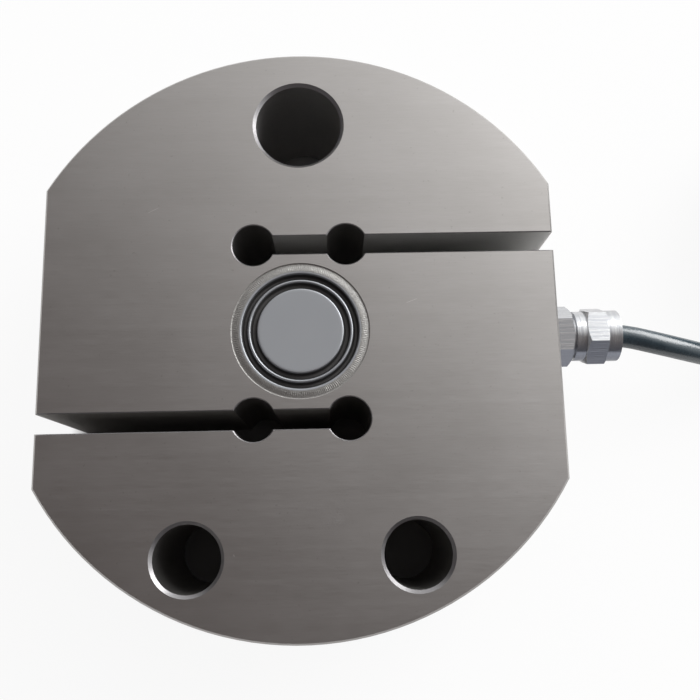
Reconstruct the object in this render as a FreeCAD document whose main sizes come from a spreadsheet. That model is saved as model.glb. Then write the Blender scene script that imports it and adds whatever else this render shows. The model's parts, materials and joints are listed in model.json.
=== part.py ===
"""S type load cell with a round, flat sided spring element.

The disc lies on its rear face. The origin is the centre of that face, +Z runs
through the thickness, +Y points at the large hole and +X at the cable gland.
Lengths are in millimetres and angles in degrees.
"""
import FreeCAD, Part
import Sketcher
import math
import os

Vector = FreeCAD.Vector

SIZES = [
    # spring element
    ("disc_diameter", 120.0),
    ("flat_to_flat", 103.6),
    ("disc_thickness", 36.0),
    ("rim_chamfer", 0.4),
    ("top_hole_diameter", 17.8),
    ("top_hole_rim_distance", 16.0),
    ("lower_hole_diameter", 13.1),
    ("lower_hole_rim_distance", 16.0),
    ("lower_hole_half_spacing", 22.0),
    ("hole_chamfer", 0.65),
    ("relief_hole_diameter", 8.6),
    ("relief_hole_half_span", 9.4),
    ("slot_height", 17.8),
    ("slot_width", 3.85),
    ("edge_break", 0.2),
    ("gauge_bore_diameter", 22.4),
    # sealing diaphragms, measured from the face that each one closes
    ("diaphragm_radius", 12.2),
    ("seat_depth", 2.6),
    ("rim_wall", 0.55),
    ("rim_top_width", 0.4),
    ("rim_drop", 0.15),
    ("plate_radius", 8.6),
    ("plate_drop", 0.25),
    ("crest_radius", 10.25),
    ("crest_width", 0.45),
    ("crest_drop", 0.35),
    ("groove_depth", 1.7),
    ("groove_slope", 0.35),
    ("sheet_thickness", 0.3),
    ("weld_width", 1.7),
    ("weld_depth", 1.4),
    ("weld_edge_drop", 0.45),
    ("weld_crown_drop", 0.05),
    ("weld_shoulder", 0.5),
    # strain gauges on the bore wall
    ("gauge_thickness", 0.25),
    ("gauge_length", 8.0),
    ("gauge_arc", 32.0),
    ("gauge_tab_height", 1.6),
    # bridge board
    ("board_radius", 9.6),
    ("board_thickness", 1.0),
    ("board_height", 6.5),
    ("board_bond_height", 2.2),
    ("resistor_length", 3.2),
    ("resistor_width", 1.6),
    ("resistor_height", 0.6),
    ("resistor_pitch", 3.4),
    ("resistor_row_offset", 4.0),
    ("gauge_lead_diameter", 0.4),
    ("gauge_lead_spread", 10.0),
    ("gauge_lead_lift", 1.6),
    ("gauge_lead_inset", 1.2),
    ("core_bend_radius", 1.6),
    ("core_bore_inset", 1.6),
    ("core_landing_x", 6.4),
    ("core_landing_step", 1.9),
    ("core_landing_spread", 2.6),
    ("core_first_drop", 4.0),
    # cable gland, along the axis of the wire passage
    ("gland_offset", 1.5),
    ("gland_thread_diameter", 8.0),
    ("gland_thread_length", 9.0),
    ("thread_clearance", 0.05),
    ("wire_passage_diameter", 5.6),
    ("gland_hex_flats", 11.6),
    ("gland_hex_length", 6.7),
    ("gland_hex_turn", 6.0),
    ("hex_chamfer", 0.9),
    ("o_ring_section", 1.2),
    ("o_ring_radius", 4.9),
    ("neck_diameter", 9.6),
    ("neck_length", 0.7),
    ("collar_diameter", 10.9),
    ("collar_length", 2.2),
    ("spigot_diameter", 8.8),
    ("spigot_length", 4.3),
    ("seal_diameter", 7.4),
    ("seal_length", 7.0),
    ("clamp_length", 2.3),
    ("clamp_taper", 0.5),
    ("clamp_slot_width", 0.7),
    ("clamp_slot_depth", 1.8),
    ("nut_hex_flats", 11.4),
    ("nut_hex_length", 4.5),
    ("nut_hex_turn", -9.5),
    ("nut_near_chamfer", 1.0),
    ("nut_far_chamfer", 0.4),
    ("nut_cap_diameter", 11.2),
    ("nut_cap_length", 3.0),
    ("nut_nose_length", 0.5),
    ("cable_clearance", 0.1),
    # cable
    ("cable_diameter", 5.0),
    ("cable_end_gap", 1.0),
    ("core_diameter", 1.2),
    ("core_offset", 0.95),
    ("coil_mid_radius", 27.5),
    ("coil_layers", 3.0),
    ("coil_layer_turns", 3.5),
    ("coil_corner", 1.5),
    ("coil_x", 138.0),
    ("cable_entry_y", -1.6),
    ("tie_thickness", 0.8),
    ("tie_width", 4.0),
    ("notch_clearance", 0.2),
    ("sleeve_wall", 0.3),
    ("sleeve_arc", 14.0),
    ("core_tail_arc", 52.0),
    ("core_tail_step", 4.0),
    ("tail_notch_spare", 4.0),
    ("lead_first_run", 4.0),
    ("lead_last_run", 12.0),
]


class Length:
    """A size of the sheet, or a sum of them: its formula and its value."""

    def __init__(self, text, value):
        self.text = text
        self.value = value

    def _join(self, sign, other, value):
        text = other.text if isinstance(other, Length) else repr(float(other))
        return Length("({} {} {})".format(self.text, sign, text), value)

    def __add__(self, other):
        return self._join("+", other, self.value + number(other))

    def __sub__(self, other):
        return self._join("-", other, self.value - number(other))

    def __mul__(self, other):
        return self._join("*", other, self.value * number(other))

    def __truediv__(self, other):
        return self._join("/", other, self.value / number(other))

    def __rsub__(self, other):
        return -self + other

    def __neg__(self):
        return Length("(0 - {})".format(self.text), -self.value)


def number(size):
    """Plain value of a Length or of a number."""
    return size.value if isinstance(size, Length) else float(size)


doc = FreeCAD.newDocument("LoadCell")
sheet = doc.addObject("Spreadsheet::Sheet", "Sizes")
size = {}
for row, (alias, value) in enumerate(SIZES, start=1):
    sheet.set("A{}".format(row), str(value))
    sheet.setAlias("A{}".format(row), alias)
    size[alias] = Length("Sizes.{}".format(alias), value)
ZERO = Length("0", 0.0)
OVERCUT = 1.0               # how far a cutting sketch runs past the solid
NEAR = 1e-6                 # differences smaller than this are nothing
HEX_CHAMFER_ANGLE = 30.0
CLAMP_SLITS = 6
doc.recompute()


# ---------------------------------------------------------------- helpers

def bind(thing, path, length):
    """Tie a property of a document object to a formula of the sheet."""
    if isinstance(length, Length):
        thing.setExpression(path, length.text)
    else:
        setattr(thing, path, length)


def new_body(label):
    """Empty PartDesign body named after its piece."""
    body = doc.addObject("PartDesign::Body", label)
    body.Label = label
    return body


def origin_feature(body, role):
    """Plane or axis of the body's own origin."""
    return [part for part in body.Origin.OriginFeatures if part.Role == role][0]


def new_sketch(body, name, plane, offset=None):
    """Sketch on an origin plane, moved along its normal by offset."""
    sketch = body.newObject("Sketcher::SketchObject", name)
    sketch.AttachmentSupport = [(origin_feature(body, plane), "")]
    sketch.MapMode = "FlatFace"
    if offset is not None:
        sketch.setExpression("AttachmentOffset.Base.z", offset.text)
    return sketch


def name_constraint(sketch, constraint, name, length):
    """Add a constraint and bind its value to the sheet."""
    index = sketch.addConstraint(constraint)
    sketch.renameConstraint(index, name)
    sketch.setExpression("Constraints." + name, length.text)


def add_outline(sketch, points, tag="p"):
    """Closed outline of straight lines through points, each (x, y) of Lengths."""
    ids = []
    for point, after in zip(points, points[1:] + points[:1]):
        start = Vector(point[0].value, point[1].value, 0)
        end = Vector(after[0].value, after[1].value, 0)
        ids.append(sketch.addGeometry(Part.LineSegment(start, end), False))
    for i, point in enumerate(points):
        sketch.addConstraint(Sketcher.Constraint("Coincident", ids[i - 1], 2, ids[i], 1))
        for kind, axis in (("DistanceX", 0), ("DistanceY", 1)):
            name = "{}{}_{}".format(tag, i, "xy"[axis])
            rule = Sketcher.Constraint(kind, -1, 1, ids[i], 1, point[axis].value)
            name_constraint(sketch, rule, name, point[axis])


def add_circle(sketch, x, y, radius, tag):
    """Circle with its centre and radius bound to the sheet."""
    circle = Part.Circle(Vector(x.value, y.value, 0), Vector(0, 0, 1), radius.value)
    index = sketch.addGeometry(circle, False)
    across = Sketcher.Constraint("DistanceX", -1, 1, index, 3, x.value)
    along = Sketcher.Constraint("DistanceY", -1, 1, index, 3, y.value)
    name_constraint(sketch, across, tag + "_x", x)
    name_constraint(sketch, along, tag + "_y", y)
    name_constraint(sketch, Sketcher.Constraint("Radius", index, radius.value), tag + "_r", radius)


def add_box(sketch, left, right, low, high, tag):
    """Rectangle between two pairs of Lengths."""
    add_outline(sketch, [(left, low), (right, low), (right, high), (left, high)], tag)


def add_hexagon(sketch, flats, tag, y=ZERO):
    """Hexagon centred at (0, y), with corners on the sketch's vertical axis."""
    corner = flats / math.sqrt(3)
    ring = []
    for k in range(6):
        turn = math.radians(90 + 60 * k)
        across = corner * round(math.cos(turn), 12)
        ring.append((across, y + corner * round(math.sin(turn), 12)))
    add_outline(sketch, ring, tag)


def grow(body, sketch, name, length, kind="PartDesign::Pad", reverse=False):
    """Pad or Pocket of a sketch, checked to change the solid."""
    before = body.Shape.Volume if body.Shape.Solids else 0.0
    feature = body.newObject(kind, name)
    feature.Profile = sketch
    feature.Reversed = reverse
    bind(feature, "Length", length)
    return settle(body, feature, before)


def cut(body, sketch, name, length, reverse=False):
    """Pocket of a sketch to a depth."""
    return grow(body, sketch, name, length, "PartDesign::Pocket", reverse)


def turn(body, sketch, name, axis="Z_Axis", kind="PartDesign::Revolution", angle=360.0):
    """Revolution or Groove of a sketch about an origin axis of the body."""
    before = body.Shape.Volume if body.Shape.Solids else 0.0
    feature = body.newObject(kind, name)
    feature.Profile = sketch
    feature.ReferenceAxis = (origin_feature(body, axis), [""])
    bind(feature, "Angle", angle)
    if isinstance(angle, Length):
        feature.Midplane = True
    return settle(body, feature, before)


def settle(body, feature, before):
    """Recompute, and stop if a feature has left the solid as it was."""
    doc.recompute()
    change = abs(feature.Shape.Volume - before)
    if change < NEAR:
        raise RuntimeError(feature.Name + " changes nothing")
    return feature


def break_edges(body, base, name, length, wanted):
    """Chamfer the edges of a feature that wanted() picks."""
    edges = []
    for number_of_edge, edge in enumerate(base.Shape.Edges, start=1):
        if wanted(edge):
            edges.append("Edge{}".format(number_of_edge))
    before = body.Shape.Volume
    feature = body.newObject("PartDesign::Chamfer", name)
    feature.Base = (base, edges)
    bind(feature, "Size", length)
    return settle(body, feature, before)


def is_circle(edge, radius):
    """True for a circular edge of the given radius."""
    return isinstance(edge.Curve, Part.Circle) and abs(edge.Curve.Radius - radius) < NEAR


def height_of(edge):
    """Height of the middle of an edge's box."""
    return edge.BoundBox.Center.z


def place(thing, x=None, y=None, z=None, angle=None, axis=Vector(0, 0, 1)):
    """Placement of a piece, tied to the sheet."""
    thing.Placement = FreeCAD.Placement(Vector(), FreeCAD.Rotation(axis, 0))
    if angle is not None:
        thing.Placement = FreeCAD.Placement(Vector(), FreeCAD.Rotation(axis, number(angle)))
    for letter, value in zip("xyz", (x, y, z)):
        if value is not None:
            thing.setExpression("Placement.Base." + letter, value.text)


def solid(label, shape):
    """Piece whose shape is made directly."""
    feature = doc.addObject("Part::Feature", label)
    feature.Label = label
    feature.Shape = shape
    return feature


# ------------------------------------------------------- worked out sizes

half_thickness = size["disc_thickness"] / 2
disc_radius = size["disc_diameter"] / 2
flat_x = size["flat_to_flat"] / 2
bore_radius = size["gauge_bore_diameter"] / 2
weld_radius = size["diaphragm_radius"] + size["weld_width"]
cable_radius = size["cable_diameter"] / 2
gauge_angle = math.degrees(math.atan2(number(size["slot_height"]), number(size["relief_hole_half_span"])))

hex_end = flat_x + size["gland_hex_length"]
neck_end = hex_end + size["neck_length"]
collar_end = neck_end + size["collar_length"]
spigot_end = collar_end + size["spigot_length"]
nut_hex_end = collar_end + size["nut_hex_length"]
cap_end = nut_hex_end + size["nut_cap_length"]
nose_end = cap_end + size["nut_nose_length"]
seal_end = spigot_end
seal_start = seal_end - size["seal_length"]
clamp_end = seal_end + size["clamp_length"]
seal_radius = size["seal_diameter"] / 2
cable_inner_end = flat_x - size["gland_thread_length"] + size["cable_end_gap"]


# --------------------------------------------------------- spring element

def make_spring_element():
    """Flat sided disc with the S slots, the holes and the gauge bore."""
    body = new_body("spring_element")
    through = size["disc_thickness"]

    outline = new_sketch(body, "disc_outline", "XY_Plane")
    add_circle(outline, ZERO, ZERO, disc_radius, "disc")
    grow(body, outline, "disc_blank", through)

    flats = new_sketch(body, "side_flats", "XY_Plane")
    edge = disc_radius + OVERCUT
    add_box(flats, flat_x, edge, -edge, edge, "right")
    add_box(flats, -edge, -flat_x, -edge, edge, "left")
    flat_cut = cut(body, flats, "flat_cut", through, reverse=True)
    rim_heights = (0.0, number(through))

    def on_rim(piece):
        level = height_of(piece)
        at_face = min(abs(level - rim_heights[0]), abs(level - rim_heights[1])) < NEAR
        return at_face and piece.BoundBox.ZLength < NEAR

    break_edges(body, flat_cut, "rim_break", size["rim_chamfer"], on_rim)

    holes = new_sketch(body, "mounting_holes", "XY_Plane")
    lower_radius = size["lower_hole_diameter"] / 2
    top_radius = size["top_hole_diameter"] / 2
    add_circle(holes, ZERO, disc_radius - size["top_hole_rim_distance"], top_radius, "top")
    lower_y = size["lower_hole_rim_distance"] - disc_radius
    for sign, side in ((-1, "left"), (1, "right")):
        across = size["lower_hole_half_spacing"] * sign
        add_circle(holes, across, lower_y, lower_radius, side)
    hole_cut = cut(body, holes, "mounting_hole_cut", through, reverse=True)

    def on_hole(piece):
        return is_circle(piece, top_radius.value) or is_circle(piece, lower_radius.value)

    break_edges(body, hole_cut, "mounting_hole_chamfer", size["hole_chamfer"], on_hole)

    relief = new_sketch(body, "relief_holes", "XY_Plane")
    relief_radius = size["relief_hole_diameter"] / 2
    for sign_x, sign_y in ((-1, 1), (1, 1), (-1, -1), (1, -1)):
        tag = "r{}{}".format("lmr"[sign_x + 1], "lmu"[sign_y + 1])
        across = size["relief_hole_half_span"] * sign_x
        add_circle(relief, across, size["slot_height"] * sign_y, relief_radius, tag)
    cut(body, relief, "relief_hole_cut", through, reverse=True)

    slots = new_sketch(body, "s_slots", "XY_Plane")
    half_slot = size["slot_width"] / 2
    span = size["relief_hole_half_span"]
    high = size["slot_height"]
    add_box(slots, -span, flat_x + OVERCUT, high - half_slot, high + half_slot, "upper")
    add_box(slots, -flat_x - OVERCUT, span, -high - half_slot, -high + half_slot, "lower")
    slot_cut = cut(body, slots, "s_slot_cut", through, reverse=True)

    def on_slot(piece):
        if piece.BoundBox.ZLength > NEAR:
            return False
        off_axis = abs(abs(piece.BoundBox.Center.y) - high.value)
        wall = piece.BoundBox.YLength < NEAR and abs(off_axis - half_slot.value) < NEAR
        return wall or is_circle(piece, relief_radius.value)

    break_edges(body, slot_cut, "slot_edge_break", size["edge_break"], on_slot)

    bore = new_sketch(body, "gauge_bore", "XY_Plane")
    add_circle(bore, ZERO, ZERO, bore_radius, "bore")
    cut(body, bore, "gauge_bore_cut", through, reverse=True)

    for face in ("front", "rear"):
        at_front = face == "front"
        level = through if at_front else None
        for what, radius, depth in (("seat", size["diaphragm_radius"], size["seat_depth"]),
                                    ("weld", weld_radius, size["weld_depth"])):
            name = "{}_{}".format(face, what)
            ring = new_sketch(body, name, "XY_Plane", level)
            add_circle(ring, ZERO, ZERO, radius, "ring")
            cut(body, ring, name + "_cut", depth, reverse=not at_front)

    tapping = new_sketch(body, "gland_hole", "YZ_Plane", flat_x)
    thread_radius = size["gland_thread_diameter"] / 2 + size["thread_clearance"]
    add_circle(tapping, size["gland_offset"], half_thickness, thread_radius, "thread")
    cut(body, tapping, "gland_hole_cut", size["gland_thread_length"] + size["thread_clearance"])

    passage = new_sketch(body, "wire_passage", "YZ_Plane", flat_x)
    add_circle(passage, size["gland_offset"], half_thickness, size["wire_passage_diameter"] / 2, "wire")
    cut(body, passage, "wire_passage_cut", flat_x - bore_radius / 2)
    return body


# ------------------------------------------------------------- diaphragms

def make_diaphragm(label, at_front):
    """Corrugated sheet cup that closes one end of the gauge bore."""
    body = new_body(label)
    sketch = new_sketch(body, label + "_section", "XZ_Plane")
    sheet_t = size["sheet_thickness"]
    slope = size["groove_slope"]
    plate = size["plate_radius"]
    deep = -size["groove_depth"]
    crest = -size["crest_drop"]
    half_crest = size["crest_width"] / 2
    outer = size["diaphragm_radius"]
    lip = outer - size["rim_top_width"]
    top = [
        (ZERO, -size["plate_drop"]),
        (plate, -size["plate_drop"]),
        (plate + slope, deep),
        (size["crest_radius"] - half_crest - slope, deep),
        (size["crest_radius"] - half_crest, crest),
        (size["crest_radius"] + half_crest, crest),
        (size["crest_radius"] + half_crest + slope, deep),
        (lip - slope, deep),
        (lip, -size["rim_drop"]),
        (outer, -size["rim_drop"]),
    ]
    inner_rim = outer - size["rim_wall"]
    below = [
        (outer, -size["seat_depth"]),
        (inner_rim, -size["seat_depth"]),
        (inner_rim, deep - sheet_t),
        (size["crest_radius"] + half_crest + slope - sheet_t, deep - sheet_t),
        (size["crest_radius"], crest - sheet_t),
        (size["crest_radius"] - half_crest - slope + sheet_t, deep - sheet_t),
        (plate + slope - sheet_t, deep - sheet_t),
        (plate - sheet_t, -size["plate_drop"] - sheet_t),
        (ZERO, -size["plate_drop"] - sheet_t),
    ]
    add_outline(sketch, top + below)
    turn(body, sketch, label + "_turned")
    face_piece(body, at_front)
    return body


def face_piece(body, at_front):
    """Seat a piece, drawn below z = 0, in the front face or in the rear one."""
    if at_front:
        place(body, z=size["disc_thickness"])
    else:
        place(body, angle=180.0, axis=Vector(1, 0, 0))


def make_weld_bead(label, at_front):
    """Crowned bead that fills the groove round a diaphragm."""
    body = new_body(label)
    sketch = new_sketch(body, label + "_section", "XZ_Plane")
    inner = size["diaphragm_radius"]
    low = -size["weld_depth"]
    edge = -size["weld_edge_drop"]
    crown = -size["weld_crown_drop"]
    add_outline(sketch, [
        (inner, low),
        (weld_radius, low),
        (weld_radius, edge),
        (weld_radius - size["weld_shoulder"], crown),
        (inner + size["weld_shoulder"], crown),
        (inner, edge),
    ])
    turn(body, sketch, label + "_turned")
    face_piece(body, at_front)
    return body


# ------------------------------------------- gauges, board and inner wires

GAUGES = [
    ("gauge_upper_right", gauge_angle),
    ("gauge_upper_left", 180.0 - gauge_angle),
    ("gauge_lower_left", 180.0 + gauge_angle),
    ("gauge_lower_right", -gauge_angle),
]
gauge_low = half_thickness - size["gauge_length"] / 2
gauge_tab_low = gauge_low - size["gauge_tab_height"]


def make_gauge(label, angle):
    """Foil gauge bonded to the bore wall opposite a relief hole."""
    body = new_body(label)
    grid = new_sketch(body, label + "_grid", "XZ_Plane")
    inner = bore_radius - size["gauge_thickness"]
    add_box(grid, inner, bore_radius, gauge_low, gauge_low + size["gauge_length"], "grid")
    turn(body, grid, label + "_foil", angle=size["gauge_arc"])
    tabs = new_sketch(body, label + "_tabs", "XZ_Plane")
    add_box(tabs, inner, bore_radius, gauge_tab_low, gauge_low, "tabs")
    turn(body, tabs, label + "_tab_foil", angle=size["gauge_arc"] / 2)
    place(body, angle=angle)
    return body


board_top = size["board_height"] + size["board_thickness"]


def make_board():
    """Round terminal board across the rear part of the gauge bore."""
    board = doc.addObject("Part::Cylinder", "bridge_board")
    board.Label = "bridge_board"
    bind(board, "Radius", size["board_radius"])
    bind(board, "Height", size["board_thickness"])
    place(board, z=size["board_height"])
    return board


def make_board_bond():
    """Ring of silicone that holds the board to the bore wall."""
    body = new_body("board_bond")
    sketch = new_sketch(body, "board_bond_section", "XZ_Plane")
    low = size["board_height"] + size["board_thickness"] / 2 - size["board_bond_height"] / 2
    add_box(sketch, size["board_radius"], bore_radius, low, low + size["board_bond_height"], "bond")
    turn(body, sketch, "board_bond_ring")
    return body


def make_resistors():
    """Row of small balance resistors on the board."""
    boxes = []
    for k in (-1, 0, 1):
        chip = doc.addObject("Part::Box", "balance_resistor_{}".format(k + 2))
        bind(chip, "Length", size["resistor_width"])
        bind(chip, "Width", size["resistor_length"])
        bind(chip, "Height", size["resistor_height"])
        place(chip, size["resistor_pitch"] * k - size["resistor_width"] / 2,
              -size["resistor_length"] / 2 - size["resistor_row_offset"], board_top)
        boxes.append(chip)
    group = doc.addObject("Part::Compound", "balance_resistors")
    group.Label = "balance_resistors"
    group.Links = boxes
    return group


def make_gauge_leads():
    """Fine wires from each gauge's tabs down and in to the board."""
    wires = []
    radius = number(size["gauge_lead_diameter"]) / 2
    outer = number(bore_radius - size["gauge_thickness"]) - radius
    inner = number(size["board_radius"] - size["gauge_lead_inset"])
    top = number(gauge_tab_low + size["gauge_tab_height"] / 2)
    low = number(board_top)
    lift = low + number(size["gauge_lead_lift"])
    spread = number(size["gauge_lead_spread"]) / 2
    for _, angle in GAUGES:
        for side in (-spread, spread):
            turned = math.radians(angle + side)
            outward = Vector(math.cos(turned), math.sin(turned), 0)
            route = [outward * outer + Vector(0, 0, top),
                     outward * outer + Vector(0, 0, lift),
                     outward * inner + Vector(0, 0, lift),
                     outward * inner + Vector(0, 0, low)]
            wires.append(round_tube(Part.makePolygon(route), radius))
    return solid("gauge_leads", Part.makeCompound(wires))


def bent_path(points, bend):
    """Wire of straight runs through points, joined by arcs of one radius."""
    return joined_path(points, [bend] * (len(points) - 2))


def joined_path(points, radii):
    """Wire of straight runs joined by tangent arcs of the given radii."""
    edges = []
    start = points[0]
    for i in range(1, len(points) - 1):
        inward = (points[i - 1] - points[i]).normalize()
        outward = (points[i + 1] - points[i]).normalize()
        half_turn = (math.pi - inward.getAngle(outward)) / 2
        setback = radii[i - 1] * math.tan(half_turn)
        enter = points[i] + inward * setback
        leave = points[i] + outward * setback
        bisector = (inward + outward).normalize()
        middle = points[i] + bisector * (radii[i - 1] / math.cos(half_turn) - radii[i - 1])
        edges.append(Part.LineSegment(start, enter).toShape())
        edges.append(Part.Arc(enter, middle, leave).toShape())
        start = leave
    edges.append(Part.LineSegment(start, points[-1]).toShape())
    return Part.Wire(edges)


def round_tube(path, radius):
    """Round solid swept along a path."""
    start = path.Edges[0]
    way = start.tangentAt(start.FirstParameter)
    ring = Part.makeCircle(radius, start.valueAt(start.FirstParameter), way)
    mitred = 1
    return path.makePipeShell([Part.Wire(ring)], True, True, mitred)


CORES = [
    # name, and its place round the cable's middle in quarter turns
    ("red", 0),
    ("black", 1),
    ("green", 2),
    ("white", 3),
]


def core_centre(quarter):
    """Where a core sits in the cable: across the axis, along Y and Z."""
    turned = math.radians(45 + 90 * quarter)
    reach = number(size["core_offset"])
    return Vector(0, math.cos(turned) * reach, math.sin(turned) * reach)


def make_inner_core(colour, quarter):
    """Core from the end of the cable, through the passage, to the board."""
    radius = number(size["core_diameter"]) / 2
    seat = core_centre(quarter)
    axis_y = number(size["gland_offset"])
    level = number(half_thickness)
    start = Vector(number(cable_inner_end), axis_y, level) + seat
    land_x = number(size["core_landing_x"])
    if seat.z > 0:
        land_x -= number(size["core_landing_step"])
    spread = number(size["core_landing_spread"])
    land_y = start.y + math.copysign(spread, seat.y)
    bore_x = number(bore_radius - size["core_bore_inset"])
    drop = number(size["core_first_drop"])
    route = [start,
             Vector(bore_x, start.y, start.z),
             Vector(land_x, land_y, start.z - drop),
             Vector(land_x, land_y, number(board_top))]
    path = bent_path(route, number(size["core_bend_radius"]))
    return solid("core_" + colour, round_tube(path, radius))


# ------------------------------------------------------------ cable gland

def axis_body(label, turn_angle=None):
    """Body drawn along its own Z, laid on the gland's axis."""
    body = new_body(label)
    spin = number(turn_angle) if turn_angle is not None else 0.0
    lay = FreeCAD.Rotation(Vector(0, 1, 0), 90)
    about = FreeCAD.Rotation(Vector(0, 0, 1), spin)
    body.Placement = FreeCAD.Placement(Vector(), lay.multiply(about))
    body.setExpression("Placement.Base.y", size["gland_offset"].text)
    body.setExpression("Placement.Base.z", half_thickness.text)
    return body


def chamfer_hexagon(body, name, flats, length, low, high, low_end=False):
    """Turn the corners of a hexagon off at one of its ends."""
    sketch = new_sketch(body, name, "XZ_Plane")
    corner = flats / math.sqrt(3)
    inside = corner - length
    drop = length * math.tan(math.radians(HEX_CHAMFER_ANGLE))
    far = corner + OVERCUT
    slope = drop + drop / length * OVERCUT
    if low_end:
        points = [(inside, low), (far, low), (far, low + slope)]
    else:
        points = [(inside, high), (far, high - slope), (far, high)]
    add_outline(sketch, points)
    turn(body, sketch, name + "_turned", kind="PartDesign::Groove")


def make_gland_body():
    """Gland body: threaded shank, hexagon, neck, collar and spigot."""
    body = axis_body("gland_body", size["gland_hex_turn"])
    hexagon = new_sketch(body, "gland_hex", "XY_Plane", flat_x)
    add_hexagon(hexagon, size["gland_hex_flats"], "hex")
    grow(body, hexagon, "gland_hex_pad", size["gland_hex_length"])
    chamfer_hexagon(body, "gland_hex_chamfer", size["gland_hex_flats"], size["hex_chamfer"],
                    flat_x, hex_end)

    sections = [
        ("shank", size["gland_thread_diameter"], flat_x - size["gland_thread_length"],
         size["gland_thread_length"]),
        ("neck", size["neck_diameter"], hex_end, size["neck_length"]),
        ("collar", size["collar_diameter"], neck_end, size["collar_length"]),
        ("spigot", size["spigot_diameter"], collar_end, size["spigot_length"]),
    ]
    for name, diameter, start, length in sections:
        ring = new_sketch(body, name, "XY_Plane", start)
        add_circle(ring, ZERO, ZERO, diameter / 2, "ring")
        grow(body, ring, name + "_pad", length)

    bore = new_sketch(body, "gland_bore", "XY_Plane", spigot_end)
    add_circle(bore, ZERO, ZERO, cable_radius + size["cable_clearance"], "ring")
    cut(body, bore, "gland_bore_cut", spigot_end - flat_x + size["gland_thread_length"])
    pocket = new_sketch(body, "seal_pocket", "XY_Plane", spigot_end)
    add_circle(pocket, ZERO, ZERO, seal_radius, "ring")
    cut(body, pocket, "seal_pocket_cut", size["seal_length"])

    groove = new_sketch(body, "o_ring_groove", "XZ_Plane")
    half = size["o_ring_section"] / 2
    centre = size["o_ring_radius"]
    add_box(groove, centre - half, centre + half, flat_x, flat_x + size["o_ring_section"], "groove")
    turn(body, groove, "o_ring_groove_cut", kind="PartDesign::Groove")
    return body


def make_o_ring():
    """Ring that seals the hexagon against the flat of the disc."""
    ring = doc.addObject("Part::Torus", "gland_o_ring")
    ring.Label = "gland_o_ring"
    bind(ring, "Radius1", size["o_ring_radius"])
    bind(ring, "Radius2", size["o_ring_section"] / 2)
    place(ring, flat_x + size["o_ring_section"] / 2, size["gland_offset"], half_thickness,
          angle=90.0, axis=Vector(0, 1, 0))
    return ring


def make_seal():
    """Rubber sleeve squeezed round the cable."""
    body = axis_body("gland_seal")
    ring = new_sketch(body, "seal_ring", "XY_Plane", seal_start)
    add_circle(ring, ZERO, ZERO, seal_radius, "outer")
    add_circle(ring, ZERO, ZERO, cable_radius, "inner")
    grow(body, ring, "seal_pad", size["seal_length"])
    return body


def make_clamp_ring():
    """Slit plastic ring that the nut's cone closes on the cable."""
    body = axis_body("gland_clamp_ring")
    section = new_sketch(body, "clamp_section", "XZ_Plane")
    add_outline(section, [
        (cable_radius, seal_end),
        (seal_radius, seal_end),
        (seal_radius - size["clamp_taper"], clamp_end),
        (cable_radius, clamp_end),
    ])
    turn(body, section, "clamp_turned")
    slit = new_sketch(body, "clamp_slit", "XY_Plane", clamp_end)
    half = size["clamp_slot_width"] / 2
    add_box(slit, ZERO, seal_radius + OVERCUT, -half, half, "slit")
    slit_cut = cut(body, slit, "clamp_slit_cut", size["clamp_slot_depth"])
    ring = body.newObject("PartDesign::PolarPattern", "clamp_slits")
    ring.Originals = [slit_cut]
    ring.Axis = (origin_feature(body, "Z_Axis"), [""])
    ring.Angle = 360
    ring.Occurrences = CLAMP_SLITS
    body.Tip = ring
    doc.recompute()
    return body


def make_gland_nut():
    """Cap nut: hexagon, round cap and shallow nose with the cable hole."""
    body = axis_body("gland_nut", size["nut_hex_turn"])
    hexagon = new_sketch(body, "nut_hex", "XY_Plane", collar_end)
    add_hexagon(hexagon, size["nut_hex_flats"], "hex")
    grow(body, hexagon, "nut_hex_pad", size["nut_hex_length"])
    for end, length in (("near", size["nut_near_chamfer"]), ("far", size["nut_far_chamfer"])):
        chamfer_hexagon(body, "nut_{}_chamfer".format(end), size["nut_hex_flats"], length,
                        collar_end, nut_hex_end, low_end=end == "near")
    cap = new_sketch(body, "nut_cap_section", "XZ_Plane")
    cap_radius = size["nut_cap_diameter"] / 2
    hole = cable_radius + size["cable_clearance"]
    add_outline(cap, [
        (hole, nut_hex_end),
        (cap_radius, nut_hex_end),
        (cap_radius, cap_end),
        (hole, nose_end),
    ])
    turn(body, cap, "nut_cap")
    inside = new_sketch(body, "nut_inside", "XZ_Plane")
    thread = size["spigot_diameter"] / 2 + size["thread_clearance"]
    add_outline(inside, [
        (ZERO, collar_end),
        (thread, collar_end),
        (thread, spigot_end + size["thread_clearance"]),
        (seal_radius + size["thread_clearance"], spigot_end + size["thread_clearance"]),
        (seal_radius - size["clamp_taper"] + size["thread_clearance"], clamp_end),
        (hole, clamp_end),
        (hole, nose_end),
        (ZERO, nose_end),
    ])
    turn(body, inside, "nut_inside_cut", kind="PartDesign::Groove")
    return body


# ------------------------------------------------------------------ cable

# The lead drops from the gland to the ground and runs along it to the coil.
# Its first run is in line with the gland, and its last with the coil.
LEAD_POINTS = [
    (80.2, 1.0, 17.6),
    (86.6, -0.5, 16.2),
    (94.4, -1.9, 12.9),
    (103.4, -2.2, 8.4),
    (113.6, -1.7, 4.6),
]
coil_inner = size["coil_mid_radius"] - size["coil_layers"] * size["cable_diameter"] / 2
coil_outer = size["coil_mid_radius"] + size["coil_layers"] * size["cable_diameter"] / 2
outer_turn = coil_outer - cable_radius
inner_turn = coil_inner + cable_radius
coil_y = size["cable_entry_y"] + outer_turn
coil_low = size["tie_thickness"]
coil_high = coil_low + (size["coil_layer_turns"] + 1) * size["cable_diameter"]


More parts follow.
